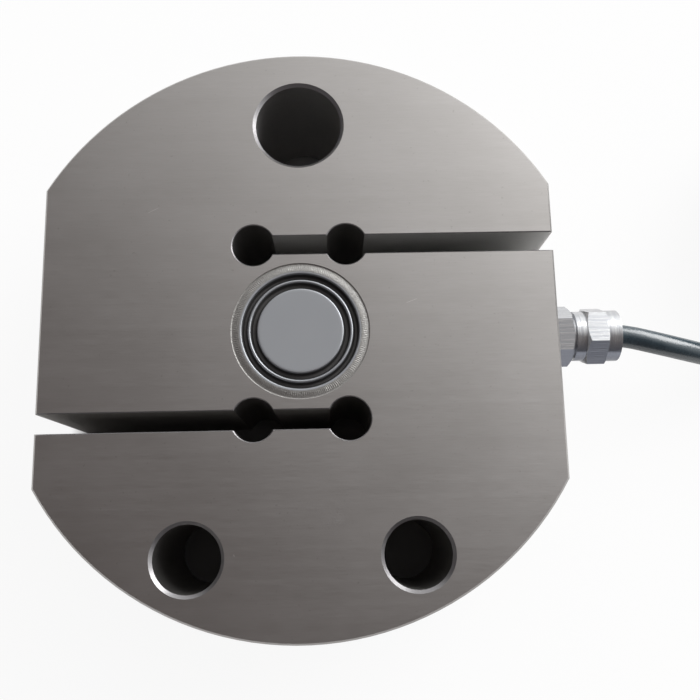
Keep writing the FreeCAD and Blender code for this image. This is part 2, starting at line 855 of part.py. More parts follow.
def make_cable_entry():
    """Stretch of the cable that the gland holds."""
    body = axis_body("cable_entry")
    ring = new_sketch(body, "entry_ring", "XY_Plane", cable_inner_end)
    add_circle(ring, ZERO, ZERO, cable_radius, "ring")
    grow(body, ring, "entry_pad", nose_end - cable_inner_end)
    return body


def make_cable_lead():
    """Free stretch of the cable, from the gland to the coil."""
    start = Vector(number(nose_end), number(size["gland_offset"]), number(half_thickness))
    end = Vector(number(size["coil_x"]), number(size["cable_entry_y"]), number(coil_low + cable_radius))
    along = Vector(1, 0, 0)
    points = [start, start + along * number(size["lead_first_run"])]
    points += [Vector(*point) for point in LEAD_POINTS]
    points += [end - along * number(size["lead_last_run"]), end]
    radii = []
    for before, here, after in zip(points, points[1:], points[2:]):
        runs = ((here - before).Length, (after - here).Length)
        half_turn = (here - before).getAngle(after - here) / 2
        radii.append(0.45 * min(runs) / math.tan(half_turn))
    print("cable lead radii", [round(radius, 1) for radius in radii])
    path = joined_path(points, radii)
    radius = number(cable_radius)
    tube = round_tube(path, radius)
    print("cable lead length", round(path.Length, 2), "volume over section",
          round(tube.Volume / (math.pi * radius ** 2), 2))
    return solid("cable_lead", tube)


def make_cable_coil():
    """Outer shape of the tied coil, with a notch at each end of the cable."""
    body = new_body("cable_coil")
    section = new_sketch(body, "coil_section", "XZ_Plane")
    add_box(section, coil_inner, coil_outer, coil_low, coil_high, "coil")
    turned = turn(body, section, "coil_ring")

    before = body.Shape.Volume
    corners = body.newObject("PartDesign::Chamfer", "coil_corners")
    rims = []
    for index, edge in enumerate(turned.Shape.Edges, start=1):
        if isinstance(edge.Curve, Part.Circle) and abs(edge.BoundBox.ZLength) < NEAR:
            rims.append("Edge{}".format(index))
    corners.Base = (turned, rims)
    bind(corners, "Size", size["coil_corner"])
    settle(body, corners, before)

    gap = size["notch_clearance"]
    entry = new_sketch(body, "entry_notch", "YZ_Plane")
    low_y = -outer_turn - cable_radius - OVERCUT
    add_box(entry, low_y, -outer_turn + cable_radius + gap, ZERO,
            coil_low + size["cable_diameter"] + gap, "notch")
    cut(body, entry, "entry_notch_cut", coil_outer)

    ending = new_sketch(body, "ending_notch", "YZ_Plane")
    add_box(ending, -inner_turn - cable_radius - gap, OVERCUT - coil_inner,
            coil_high - size["cable_diameter"] - gap, coil_high + OVERCUT, "notch")
    before = body.Shape.Volume
    groove = body.newObject("PartDesign::Groove", "ending_notch_cut")
    groove.Profile = ending
    groove.ReferenceAxis = (origin_feature(body, "Z_Axis"), [""])
    bind(groove, "Angle", size["sleeve_arc"] + size["core_tail_arc"] + size["tail_notch_spare"])
    settle(body, groove, before)
    place(body, x=size["coil_x"], y=coil_y)
    return body


TIES = [("coil_tie_left", 150.0), ("coil_tie_right", -30.0)]


def make_tie(label, angle):
    """Strap wrapped round the section of the coil."""
    body = new_body(label)
    wrap = size["tie_thickness"]
    span = size["tie_width"] / size["coil_mid_radius"] * math.degrees(1)
    outer = new_sketch(body, label + "_outer", "XZ_Plane")
    add_box(outer, coil_inner - wrap, coil_outer + wrap, coil_low - wrap, coil_high + wrap, "outer")
    turn(body, outer, label + "_band", angle=span)
    inner = new_sketch(body, label + "_inner", "XZ_Plane")
    add_box(inner, coil_inner, coil_outer, coil_low, coil_high, "inner")
    turn(body, inner, label + "_hollow", kind="PartDesign::Groove", angle=span)
    place(body, x=size["coil_x"], y=coil_y, angle=angle)
    return body


def arc_tube(radius, reach, level, start, span):
    """Round tube on an arc about the coil's axis."""
    centre = Vector(number(size["coil_x"]), number(coil_y), level)
    arc = Part.makeCircle(reach, centre, Vector(0, 0, 1), start, start + span)
    return round_tube(Part.Wire(arc), radius)


tail_level = number(coil_high - cable_radius)
tail_reach = number(inner_turn)
sleeve_start = 270.0
sleeve_span = number(size["sleeve_arc"])
core_start = sleeve_start + sleeve_span / 2


def make_end_sleeve():
    """Shrink sleeve over the stripped end of the cable, on top of the coil."""
    outer = arc_tube(number(cable_radius), tail_reach, tail_level, sleeve_start, sleeve_span)
    inside = number(cable_radius - size["sleeve_wall"])
    return solid("end_sleeve", outer.cut(arc_tube(inside, tail_reach, tail_level, core_start,
                                                  sleeve_span)))


def make_tail_core(colour, quarter):
    """Stripped core that lies on the coil beyond the sleeve, its end tinned."""
    seat = core_centre(quarter)
    radius = number(size["core_diameter"]) / 2
    span = number(size["core_tail_arc"] - size["core_tail_step"] * quarter)
    tube = arc_tube(radius, tail_reach + seat.y, tail_level + seat.z, core_start, span)
    return solid("tail_core_" + colour, tube)


def make_tail_screen():
    """Twisted screen wire in the middle of the stripped cores."""
    radius = number(size["core_offset"] - size["core_diameter"] / 2)
    span = number(size["core_tail_arc"] - size["core_tail_step"] * 3)
    return solid("tail_screen_wire", arc_tube(radius, tail_reach, tail_level, core_start, span))


# ------------------------------------------------------------------ build

pieces = [
    make_spring_element(),
    make_diaphragm("front_diaphragm", True),
    make_diaphragm("rear_diaphragm", False),
    make_weld_bead("front_weld_bead", True),
    make_weld_bead("rear_weld_bead", False),
]
for gauge_label, gauge_place in GAUGES:
    pieces.append(make_gauge(gauge_label, gauge_place))
pieces += [make_board(), make_board_bond(), make_resistors(), make_gauge_leads()]
for core_colour, core_quarter in CORES:
    pieces.append(make_inner_core(core_colour, core_quarter))
pieces += [make_gland_body(), make_o_ring(), make_seal(), make_clamp_ring(), make_gland_nut()]
pieces += [make_cable_entry(), make_cable_lead(), make_cable_coil()]
for tie_label, tie_angle in TIES:
    pieces.append(make_tie(tie_label, tie_angle))
pieces.append(make_end_sleeve())
for core_colour, core_quarter in CORES:
    pieces.append(make_tail_core(core_colour, core_quarter))
pieces.append(make_tail_screen())

doc.recompute()
for thing in doc.Objects:
    if "Invalid" in thing.State or "Error" in thing.State:
        raise RuntimeError("failed object: " + thing.Name)
for piece in pieces:
    if piece.Shape.isNull() or not piece.Shape.isValid():
        raise RuntimeError("bad shape: " + piece.Label)

os.makedirs("parts", exist_ok=True)
for piece in pieces:
    piece.Shape.exportStep("parts/{}.step".format(piece.Label))
    print(piece.Label, len(piece.Shape.Solids), round(piece.Shape.Volume, 3))
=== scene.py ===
"""Looks of the S type load cell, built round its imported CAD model.

Lengths are in metres and angles in degrees. The disc lies on its rear face:
+Z runs through its thickness, +Y points at the large hole and +X at the gland.
"""
import json
import math

import bmesh
import bpy
from mathutils import Matrix, Vector


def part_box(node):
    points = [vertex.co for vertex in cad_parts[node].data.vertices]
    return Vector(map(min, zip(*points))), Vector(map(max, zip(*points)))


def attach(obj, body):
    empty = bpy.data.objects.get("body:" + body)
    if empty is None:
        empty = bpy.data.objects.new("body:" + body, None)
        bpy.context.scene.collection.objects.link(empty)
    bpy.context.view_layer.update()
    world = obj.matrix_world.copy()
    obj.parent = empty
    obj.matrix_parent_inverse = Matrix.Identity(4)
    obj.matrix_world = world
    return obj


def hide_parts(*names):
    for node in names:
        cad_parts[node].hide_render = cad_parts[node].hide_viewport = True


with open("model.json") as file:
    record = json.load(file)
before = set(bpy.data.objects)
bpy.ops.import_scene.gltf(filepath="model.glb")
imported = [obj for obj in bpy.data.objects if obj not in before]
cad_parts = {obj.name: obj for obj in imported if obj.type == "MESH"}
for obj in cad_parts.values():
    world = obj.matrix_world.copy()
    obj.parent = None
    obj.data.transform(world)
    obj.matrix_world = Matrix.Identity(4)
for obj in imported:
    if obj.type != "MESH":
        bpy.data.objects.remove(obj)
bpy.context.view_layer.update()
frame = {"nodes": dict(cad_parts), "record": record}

scene = bpy.context.scene
scene.view_settings.view_transform = "Standard"

disc_low, disc_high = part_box("spring_element")
coil_low, coil_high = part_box("cable_coil")
sheet_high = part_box("front_diaphragm")[1]
bead_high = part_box("front_weld_bead")[1]


def add_object(name, data):
    """Object with this data, in the scene."""
    thing = bpy.data.objects.new(name, data)
    scene.collection.objects.link(thing)
    return thing


# ------------------------------------------------------------------ camera

CAMERA_PLACE = (0.00655, -0.03738, 0.20094)
CAMERA_TURN = (11.379, -0.871, -1.258)
CAMERA_SENSOR_MM = 36.0
CAMERA_LENS_MM = 43.62
CAMERA_NEAREST = 0.01
CAMERA_FURTHEST = 100.0


def make_camera():
    """Camera over the lower half of the disc, looking down at it."""
    camera = add_object("camera", bpy.data.cameras.new("camera"))
    camera.location = CAMERA_PLACE
    camera.rotation_euler = [math.radians(angle) for angle in CAMERA_TURN]
    camera.data.sensor_width = CAMERA_SENSOR_MM
    camera.data.lens = CAMERA_LENS_MM
    camera.data.clip_start = CAMERA_NEAREST
    camera.data.clip_end = CAMERA_FURTHEST
    scene.camera = camera


make_camera()


# ------------------------------------------------------------------- cable

CABLE_DIAMETER = 0.005
EXIT = (0.0694, 0.0015, 0.018)
LEAD = [
    EXIT,
    (0.0722, 0.0011, 0.018),
    (0.0752, 0.0004, 0.0179),
    (0.0798, -0.0006, 0.0173),
    (0.0866, -0.0018, 0.0153),
    (0.0944, -0.0028, 0.0119),
    (0.1034, -0.0028, 0.0078),
    (0.1136, -0.0017, 0.0043),
    (0.1260, -0.0016, 0.0033),
    (0.1380, -0.0016, 0.0033),
]
LAYERS = 3
LAYER_TURNS = 3.5
CROSSING_TURNS = 0.25
COIL_TURNS = LAYERS * LAYER_TURNS + (LAYERS - 1) * CROSSING_TURNS
POINTS_PER_TURN = 24
COIL_START = -90.0
STEPS_BETWEEN_POINTS = 6
ROUND_STEPS = 5

coil_centre = (coil_low + coil_high) / 2
coil_outer = (coil_high.x - coil_low.x) / 2


def coil_place(turned):
    """Radius and height of the cable's middle after so many turns of the coil."""
    bottom = coil_low.z + CABLE_DIAMETER / 2
    top = bottom + LAYER_TURNS * CABLE_DIAMETER
    outer = coil_outer - CABLE_DIAMETER / 2
    layer = int(turned / (LAYER_TURNS + CROSSING_TURNS))
    within = turned - layer * (LAYER_TURNS + CROSSING_TURNS)
    radius = outer - layer * CABLE_DIAMETER
    upward = layer % 2 == 0
    rise = within * CABLE_DIAMETER
    if within > LAYER_TURNS:
        share = (within - LAYER_TURNS) / CROSSING_TURNS
        radius -= share * CABLE_DIAMETER
        past = min(within - LAYER_TURNS, CROSSING_TURNS - (within - LAYER_TURNS))
        rise = (LAYER_TURNS + past) * CABLE_DIAMETER
    return radius, bottom + rise if upward else top - rise


def coil_points():
    """Control points of the coil: three layers of turns, wound up, down and up."""
    step = 1 / POINTS_PER_TURN
    outside = 1 / math.cos(math.pi * step)
    places = [((k + 0.5) * step, outside) for k in range(round(COIL_TURNS / step))]
    places.append((COIL_TURNS, 1.0))
    points = []
    for turned, swell in places:
        radius, height = coil_place(turned)
        angle = math.radians(COIL_START) + math.tau * turned
        points.append((coil_centre.x + radius * swell * math.cos(angle),
                       coil_centre.y + radius * swell * math.sin(angle), height))
    return points


def make_tube(name, points, radius):
    """Round tube along a smooth line with these control points."""
    data = bpy.data.curves.new(name, "CURVE")
    data.dimensions = "3D"
    data.bevel_depth = 1.0
    data.bevel_resolution = ROUND_STEPS
    data.resolution_u = STEPS_BETWEEN_POINTS
    data.use_fill_caps = True
    spline = data.splines.new("NURBS")
    spline.points.add(len(points) - 1)
    for place, point in zip(spline.points, points):
        place.co = (*point, 1.0)
        place.radius = radius
    spline.order_u = 3
    spline.use_endpoint_u = True
    return add_object(name, data)


cable = make_tube("sensor_cable", LEAD + coil_points(), CABLE_DIAMETER / 2)
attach(cable, "root")
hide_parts("cable_lead", "cable_coil")


# --------------------------------------------------------------- materials

MM = 0.001
FIRST_COLOUR, SECOND_COLOUR = 6, 7


class Graph:
    """Short ways to add shader nodes to a node tree."""

    def __init__(self, tree):
        self.tree = tree
        self.nodes = tree.nodes

    def feed(self, socket, value):
        """Give a socket a link, a number or a colour."""
        if isinstance(value, bpy.types.NodeSocket):
            self.tree.links.new(value, socket)
        elif isinstance(value, tuple) and len(value) == 3 and socket.type == "RGBA":
            socket.default_value = (*value, 1.0)
        else:
            socket.default_value = value

    def add(self, kind, **settings):
        node = self.nodes.new(kind)
        for name, value in settings.items():
            setattr(node, name, value)
        return node

    def math(self, operation, *values, clamp=False):
        node = self.add("ShaderNodeMath", operation=operation, use_clamp=clamp)
        for socket, value in zip(node.inputs, values):
            self.feed(socket, value)
        return node.outputs[0]

    def split(self, vector):
        node = self.add("ShaderNodeSeparateXYZ")
        self.feed(node.inputs[0], vector)
        return node.outputs

    def span(self, value, low, high, out_low=0.0, out_high=1.0, smooth=False):
        """Map a value from one span to another, held at its ends."""
        node = self.add("ShaderNodeMapRange", clamp=True)
        if smooth:
            node.interpolation_type = "SMOOTHSTEP"
        for name, part in (("Value", value), ("From Min", low), ("From Max", high),
                           ("To Min", out_low), ("To Max", out_high)):
            self.feed(node.inputs[name], part)
        return node.outputs["Result"]

    def mix(self, share, first, second):
        """Blend of two colours."""
        node = self.add("ShaderNodeMix", data_type="RGBA")
        self.feed(node.inputs[0], share)
        self.feed(node.inputs[FIRST_COLOUR], first)
        self.feed(node.inputs[SECOND_COLOUR], second)
        return node.outputs[2]


class Look(Graph):
    """Node material with a Principled shader."""

    def __init__(self, name, **sockets):
        self.material = bpy.data.materials.new(name)
        self.material.use_nodes = True
        super().__init__(self.material.node_tree)
        self.shader = self.nodes["Principled BSDF"]
        for socket, value in sockets.items():
            self.set(socket.replace("_", " "), value)
        self.place = self.add("ShaderNodeTexCoord").outputs["Object"]

    def set(self, socket, value):
        """Give the shader's socket of this name a value."""
        self.feed({s.name.lower(): s for s in self.shader.inputs}[socket.lower()], value)

    def normal(self):
        """The three parts of the surface's direction."""
        return self.split(self.add("ShaderNodeNewGeometry").outputs["Normal"])

    def noise(self, scale, detail=3.0, rough=0.5):
        """Noise from 0 to 1 with so many features to a millimetre on each axis."""
        scaled = self.add("ShaderNodeMapping")
        self.feed(scaled.inputs["Vector"], self.place)
        self.feed(scaled.inputs["Scale"], [part / MM for part in scale])
        node = self.add("ShaderNodeTexNoise")
        for name, part in (("Vector", scaled.outputs[0]), ("Scale", 1.0), ("Detail", detail),
                           ("Roughness", rough)):
            self.feed(node.inputs[name], part)
        return node.outputs[0]

    def from_axis(self, x, y):
        """Distance from the disc's axis."""
        return self.math("SQRT", self.math("ADD", self.math("MULTIPLY", x, x),
                                           self.math("MULTIPLY", y, y)))

    def below_faces(self):
        """How far a point lies below the nearer of the disc's two faces."""
        z = self.split(self.place)[2]
        return self.math("MINIMUM", self.math("SUBTRACT", z, disc_low.z),
                         self.math("SUBTRACT", disc_high.z, z))

    def scratch(self, x, y, start, end, width):
        """Share of a fine straight scratch between two places on a face, faded at its ends."""
        (from_x, from_y), (to_x, to_y) = start, end
        length = math.hypot(to_x - from_x, to_y - from_y)
        along = ((to_x - from_x) / length, (to_y - from_y) / length)
        off_x = self.math("SUBTRACT", x, from_x)
        off_y = self.math("SUBTRACT", y, from_y)
        run = self.math("ADD", self.math("MULTIPLY", off_x, along[0]),
                        self.math("MULTIPLY", off_y, along[1]))
        side = self.math("ABSOLUTE", self.math("SUBTRACT", self.math("MULTIPLY", off_x, along[1]),
                                               self.math("MULTIPLY", off_y, along[0])))
        middle = self.math("ABSOLUTE", self.math("SUBTRACT", run, length / 2))
        return self.math("MULTIPLY", self.span(side, 0.0, width, SCRATCH_SHARE, 0.0),
                         self.span(middle, SCRATCH_FADE * length, length / 2, 1.0, 0.0))

    def bump(self, height, distance):
        """Bump the surface by a height from 0 to 1 times a distance."""
        node = self.add("ShaderNodeBump")
        self.feed(node.inputs["Height"], height)
        self.feed(node.inputs["Distance"], distance)
        return node.outputs["Normal"]


# Places and slopes that part one finish from another.
RIM_EDGE = 0.001
FLAT_EDGE = 0.0005
WALL_SLOPE = 0.4
FACE_SLOPE = 0.95
SLOT_WALL_SLOPE = 0.9
SLOT_HEIGHT = 0.0178
SLOT_REACH = 0.0021
LARGE_HOLE_START = 0.03
# Depths below the face where the painted shade in the diaphragm grooves starts and is full.
GROOVE_SHADE_START = 0.00045
GROOVE_SHADE_FULL = 0.0009
BASE_HEXAGON_END = 0.0585
NUT_HEXAGON_MIDDLE = 0.06365
NUT_HEXAGON_HALF = 0.00225

# The two ends of each metal's uneven colour, and single colours.
FACE = (0.428, 0.413, 0.398), (0.482, 0.467, 0.457)
DRILLED = (0.39, 0.38, 0.37), (0.48, 0.465, 0.45)
LARGE_HOLE = (0.60, 0.59, 0.585), (0.68, 0.67, 0.66)
# Slot wall tones: one sawn finish in a lit and a shaded copy, painted light for the upper slot and
# painted shade for the lower.
LIGHT_PAINTED_SAWN = (0.52, 0.52, 0.51), (0.61, 0.605, 0.595)
SHADE_PAINTED_SAWN = (0.33, 0.32, 0.305), (0.40, 0.39, 0.375)
CHAMFER = (0.33, 0.322, 0.328)
SPECK = (0.20, 0.18, 0.17)
SCRATCHED = (0.86, 0.84, 0.82)
SHEET = (0.395, 0.41, 0.435), (0.425, 0.44, 0.46)
# Painted shade down in the diaphragm grooves.
GROOVE_PAINTED_SHADE = (0.10, 0.098, 0.098)
WELD = (0.38, 0.37, 0.355), (0.45, 0.445, 0.43)
SCALE = (0.30, 0.295, 0.285)
NICKEL = (0.47, 0.48, 0.505), (0.67, 0.68, 0.69)
# Painted shade on the gland's side facing -Y.
UNDERSIDE_PAINTED_SHADE = (0.20, 0.215, 0.265)

SAWN_ROUGHNESS = 0.62
DRILLED_ROUGHNESS = 0.40
SPECK_SHARE = 0.22
UNDERSIDE_SHADE_SHARE = 0.85
SCRATCH_SHARE = 0.7
SCRATCH_FADE = 0.35

# How much of the face's grain each of its noises makes.
FINE_SHARE = 0.45
STREAK_SHARE = 0.2
CLOUD_SHARE = 0.35

# Start, end and width of single scratches on the front face.
SCRATCHES = [
    ((-0.01310, -0.04320), (-0.01290, -0.04365), 0.00013),
    ((0.0212, 0.0052), (0.0236, 0.0061), 0.00005),
    ((-0.0310, 0.0250), (-0.0286, 0.0262), 0.00005),
]


def ground_steel():
    """Ground faces with a fine grain along X, and dull machined walls inside, where the lower
    slot's walls are painted dark as painted shade and the upper slot's lighter as painted light.
    """
    look = Look("ground_steel_finish", metallic=1.0)
    fine = look.noise((0.25, 4.0, 4.0), detail=4.0, rough=0.6)
    streak = look.noise((0.02, 0.9, 0.9))
    cloud = look.noise((0.04, 0.06, 0.05))
    grain = look.math("ADD", look.math("MULTIPLY", fine, FINE_SHARE),
                      look.math("ADD", look.math("MULTIPLY", streak, STREAK_SHARE),
                                look.math("MULTIPLY", cloud, CLOUD_SHARE)))
    face = look.mix(look.span(grain, 0.3, 0.7), *FACE)
    speck = look.span(look.noise((1.3, 1.3, 1.3), detail=1.0), 0.72, 0.80, 0.0, SPECK_SHARE)
    face = look.mix(speck, face, SPECK)
    x, y, _ = look.split(look.place)
    for mark in SCRATCHES:
        face = look.mix(look.scratch(x, y, *mark), face, SCRATCHED)

    _, ny, nz = look.normal()
    slope = look.math("ABSOLUTE", nz)
    inside = look.math("MULTIPLY",
                       look.math("LESS_THAN", look.from_axis(x, y), disc_high.y - RIM_EDGE),
                       look.math("LESS_THAN", look.math("ABSOLUTE", x), disc_high.x - FLAT_EDGE))
    wall = look.math("MULTIPLY", inside, look.math("LESS_THAN", slope, WALL_SLOPE))
    chamfered = look.math("MULTIPLY", look.math("LESS_THAN", slope, FACE_SLOPE), inside)
    machined = look.noise((0.4, 0.4, 5.0), detail=2.0)
    drilled = look.mix(look.math("GREATER_THAN", y, LARGE_HOLE_START),
                       look.mix(machined, *DRILLED), look.mix(machined, *LARGE_HOLE))
    # Lower slot walls painted darker as painted shade, upper slot walls lighter as painted light.
    sawn = look.mix(look.math("GREATER_THAN", y, 0.0),
                    look.mix(machined, *SHADE_PAINTED_SAWN), look.mix(machined, *LIGHT_PAINTED_SAWN))
    off_slot = look.math("ABSOLUTE", look.math("SUBTRACT", look.math("ABSOLUTE", y), SLOT_HEIGHT))
    in_slot = look.math("MULTIPLY", look.math("LESS_THAN", off_slot, SLOT_REACH),
                        look.math("GREATER_THAN", look.math("ABSOLUTE", ny), SLOT_WALL_SLOPE))
    look.set("Base Color", look.mix(wall, look.mix(chamfered, face, CHAMFER),
                                    look.mix(in_slot, drilled, sawn)))
    smoothness = look.span(grain, 0.3, 0.7, 0.34, 0.42)
    wall_roughness = look.span(in_slot, 0.0, 1.0, DRILLED_ROUGHNESS, SAWN_ROUGHNESS)
    look.set("Roughness", look.span(wall, 0.0, 1.0, smoothness, wall_roughness))
    look.set("Normal", look.bump(fine, 0.000006))
    return look.material


def sheet_steel():
    """Smooth stainless sheet of the diaphragms, painted dark down in the grooves as painted shade.
    """
    look = Look("diaphragm_finish", roughness=0.5)
    # Painted shade: the sheet darkens with depth down in its grooves.
    groove_shade = look.span(look.below_faces(), GROOVE_SHADE_START, GROOVE_SHADE_FULL, smooth=True)
    bare_sheet = look.mix(look.noise((0.12, 0.12, 0.12), detail=2.0), *SHEET)
    look.set("Base Color", look.mix(groove_shade, bare_sheet, GROOVE_PAINTED_SHADE))
    look.set("Metallic", look.span(groove_shade, 0.0, 1.0, 1.0, 0.7))
    look.set("Normal", look.bump(look.noise((6.0, 6.0, 6.0), detail=2.0), 0.000002))
    return look.material


def weld_metal():
    """Bare weld bead with fine scale and slight heat tint."""
    look = Look("weld_finish", metallic=1.0)
    tint = look.mix(look.noise((0.35, 0.35, 0.35)), *WELD)
    scale = look.noise((2.6, 2.6, 2.6), detail=4.0, rough=0.65)
    look.set("Base Color", look.mix(look.span(scale, 0.35, 0.65), tint, SCALE))
    look.set("Roughness", look.span(scale, 0.3, 0.7, 0.38, 0.5))
    look.set("Normal", look.bump(scale, 0.00007))
    return look.material


def nickel_plate():
    """Nickel over brass: faint rings where it is turned, fine lines along its flats, and painted
    blue-grey shade on the side facing -Y.
    """
    look = Look("nickel_finish", metallic=0.78)
    rings = look.noise((6.5, 0.15, 0.15))
    brushed = look.noise((0.12, 4.2, 4.2))
    x = look.split(look.place)[0]
    off_nut = look.math("ABSOLUTE", look.math("SUBTRACT", x, NUT_HEXAGON_MIDDLE))
    flats = look.math("ADD", look.math("LESS_THAN", x, BASE_HEXAGON_END),
                      look.math("LESS_THAN", off_nut, NUT_HEXAGON_HALF))
    marks = look.span(flats, 0.0, 1.0, rings, brushed)
    bright = look.mix(look.span(marks, 0.35, 0.65), *NICKEL)
    # Painted shade: faces turned towards -Y are darkened to blue-grey.
    below = look.math("MULTIPLY", look.normal()[1], -1.0)
    underside_shade = look.span(below, 0.35, 0.75, 0.0, UNDERSIDE_SHADE_SHARE)
    look.set("Base Color", look.mix(underside_shade, bright, UNDERSIDE_PAINTED_SHADE))
    look.set("Roughness", look.span(marks, 0.3, 0.7, 0.26, 0.17))
    look.set("Normal", look.bump(marks, 0.00002))
    return look.material


def jacket():
    """Glossy blue-black cable jacket."""
    look = Look("jacket_finish", specular_ior_level=0.8, coat_weight=0.3, coat_ior=1.6,
                coat_roughness=0.2)
    mottle = look.noise((0.5, 0.5, 0.5))
    look.set("Base Color", look.mix(mottle, (0.022, 0.040, 0.053), (0.032, 0.055, 0.070)))
    look.set("Roughness", look.span(mottle, 0.3, 0.7, 0.22, 0.32))
    look.set("Normal", look.bump(look.noise((2.5, 2.5, 2.5)), 0.00003))
    return look.material


def plain(name, first, second, rough, grain, metallic=0.0):
    """Material with a mottled colour, an uneven roughness and a fine bump."""
    look = Look(name, metallic=metallic)
    mottle = look.noise((grain, grain, grain))
    look.set("Base Color", look.mix(mottle, first, second))
    look.set("Roughness", look.span(mottle, 0.3, 0.7, rough - 0.06, rough + 0.06))
    look.set("Normal", look.bump(mottle, 0.00002))
    return look.material


LOOKS = {
    "ground_steel": ground_steel(),
    "diaphragm_steel": sheet_steel(),
    "weld": weld_metal(),
    "plated_gland": nickel_plate(),
    "cable_jacket": jacket(),
    "seal_rubber": plain("rubber_finish", (0.02, 0.02, 0.02), (0.04, 0.04, 0.04), 0.6, 1.5),
    "clamp_plastic": plain("nylon_finish", (0.74, 0.73, 0.67), (0.82, 0.81, 0.76), 0.45, 0.8),
    "gauge_foil": plain("gauge_finish", (0.55, 0.30, 0.09), (0.72, 0.44, 0.15), 0.3, 1.2),
    "board_green": plain("board_finish", (0.02, 0.16, 0.07), (0.04, 0.24, 0.11), 0.35, 1.0),
    "silicone": plain("silicone_finish", (0.70, 0.70, 0.67), (0.80, 0.80, 0.77), 0.5, 0.6),
    "resistor": plain("resistor_finish", (0.03, 0.03, 0.035), (0.06, 0.06, 0.07), 0.4, 2.0),
    "wire_enamel": plain("enamel_finish", (0.42, 0.13, 0.05), (0.55, 0.20, 0.08), 0.25, 3.0),
    "tie_plastic": plain("tie_finish", (0.02, 0.02, 0.02), (0.035, 0.035, 0.035), 0.4, 1.0),
    "shrink_sleeve": plain("sleeve_finish", (0.015, 0.015, 0.015), (0.03, 0.03, 0.03), 0.5, 0.8),
    "core_red": plain("red_core_finish", (0.50, 0.02, 0.015), (0.62, 0.04, 0.03), 0.35, 1.0),
    "core_black": plain("black_core_finish", (0.015, 0.015, 0.015), (0.03, 0.03, 0.03), 0.35, 1.0),
    "core_green": plain("green_core_finish", (0.02, 0.26, 0.07), (0.04, 0.36, 0.10), 0.35, 1.0),
    "core_white": plain("white_core_finish", (0.74, 0.74, 0.72), (0.82, 0.82, 0.80), 0.35, 1.0),
    "screen_wire": plain("tinned_finish", (0.62, 0.61, 0.58), (0.74, 0.73, 0.70), 0.3, 4.0,
                         metallic=1.0),
}


def dress(piece, slot_name):
    """Give a piece the finish of a material slot."""
    piece.data.materials.clear()
    piece.data.materials.append(LOOKS[slot_name])


for subpart in frame["record"]["subparts"]:
    dress(frame["nodes"][subpart["node"]], subpart["material_slot"])
dress(cable, "cable_jacket")


# ---------------------------------------------------- diaphragms and welds

CORNER_RADIUS = 0.00022
CORNER_STEPS = 4
LONGEST_CORNER = 0.45
SAME_PLACE = 1e-7
SHARP_FROM = 60


def rounded(profile):
    """Profile with each of its inner corners replaced by a short curve."""
    points = [profile[0]]
    for before, here, after in zip(profile, profile[1:], profile[2:]):
        here = Vector(here)
        back = Vector(before) - here
        ahead = Vector(after) - here
        reach = min(CORNER_RADIUS, LONGEST_CORNER * back.length, LONGEST_CORNER * ahead.length)
        start = here + back.normalized() * reach
        end = here + ahead.normalized() * reach
        for k in range(CORNER_STEPS + 1):
            share = k / CORNER_STEPS
            points.append(tuple(start * (1 - share) ** 2 + here * 2 * share * (1 - share)
                                + end * share ** 2))
    points.append(profile[-1])
    return points


def to_object(shape, name, sharp_from):
    """Object made of this shape, smooth but for edges sharper than an angle in degrees."""
    bmesh.ops.recalc_face_normals(shape, faces=shape.faces)
    mesh = bpy.data.meshes.new(name)
    shape.to_mesh(mesh)
    shape.free()
    mesh.shade_smooth()
    mesh.set_sharp_from_angle(angle=math.radians(sharp_from))
    return add_object(name, mesh)


def lathe(name, profile, segments, lift=None):
    """Surface turned about Z from a profile of (radius, height) points.

    lift(share of a turn, number of the point, height) may change a point's height.
    """
    shape = bmesh.new()
    rings = []
    for k in range(segments):
        angle = math.tau * k / segments
        ring = []
        for i, (radius, height) in enumerate(profile):
            if lift is not None:
                height = lift(k / segments, i, height)
            ring.append(shape.verts.new((radius * math.cos(angle), radius * math.sin(angle),
                                         height)))
        rings.append(ring)
    for here, after in zip(rings, rings[1:] + rings[:1]):
        for i in range(len(profile) - 1):
            shape.faces.new((here[i], after[i], after[i + 1], here[i + 1]))
    bmesh.ops.remove_doubles(shape, verts=shape.verts, dist=SAME_PLACE)
    bmesh.ops.dissolve_degenerate(shape, edges=shape.edges, dist=SAME_PLACE)
    return to_object(shape, name, SHARP_FROM)


def finish_piece(piece, slot_name, node):
    """Ride, finish, and stand for a CAD node."""
    dress(piece, slot_name)
    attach(piece, "root")
    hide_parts(node)


PLATE_RADIUS = 0.0086
PLATE_DROP = 0.00025
DISH = 0.00010
GROOVE_DROP = 0.0017
CREST_RADIUS = 0.01025
CREST_WIDTH = 0.00045
CREST_DROP = 0.00035
FLANK = 0.00035
RIM_WIDTH = 0.0004
RIM_DROP = disc_high.z - sheet_high.z
SHEET_THICKNESS = 0.0003
SHEET_SEGMENTS = 192
PLATE_POINTS = (0.0, 0.2, 0.4, 0.6, 0.8, 0.9)


def diaphragm_profile():
    """Outline of the corrugated sheet, drawn down from the face at height 0."""
    rim = sheet_high.x - RIM_WIDTH
    half = CREST_WIDTH / 2
    plate = [(PLATE_RADIUS * share, -PLATE_DROP - DISH * (1 - share ** 2))
             for share in PLATE_POINTS]
    top = plate + [
        (PLATE_RADIUS, -PLATE_DROP),
        (PLATE_RADIUS + FLANK, -GROOVE_DROP),
        (CREST_RADIUS - half - FLANK, -GROOVE_DROP),
        (CREST_RADIUS - half, -CREST_DROP),
        (CREST_RADIUS + half, -CREST_DROP),
        (CREST_RADIUS + half + FLANK, -GROOVE_DROP),
        (rim - FLANK, -GROOVE_DROP),
        (rim, -RIM_DROP),
        (sheet_high.x, -RIM_DROP),
    ]
    bottom = -GROOVE_DROP - SHEET_THICKNESS
    return rounded(top) + [(sheet_high.x, bottom), (0.0, bottom)]


def in_front(points):
    """The profile seated in the front face."""
    return [(radius, disc_high.z + height) for radius, height in points]


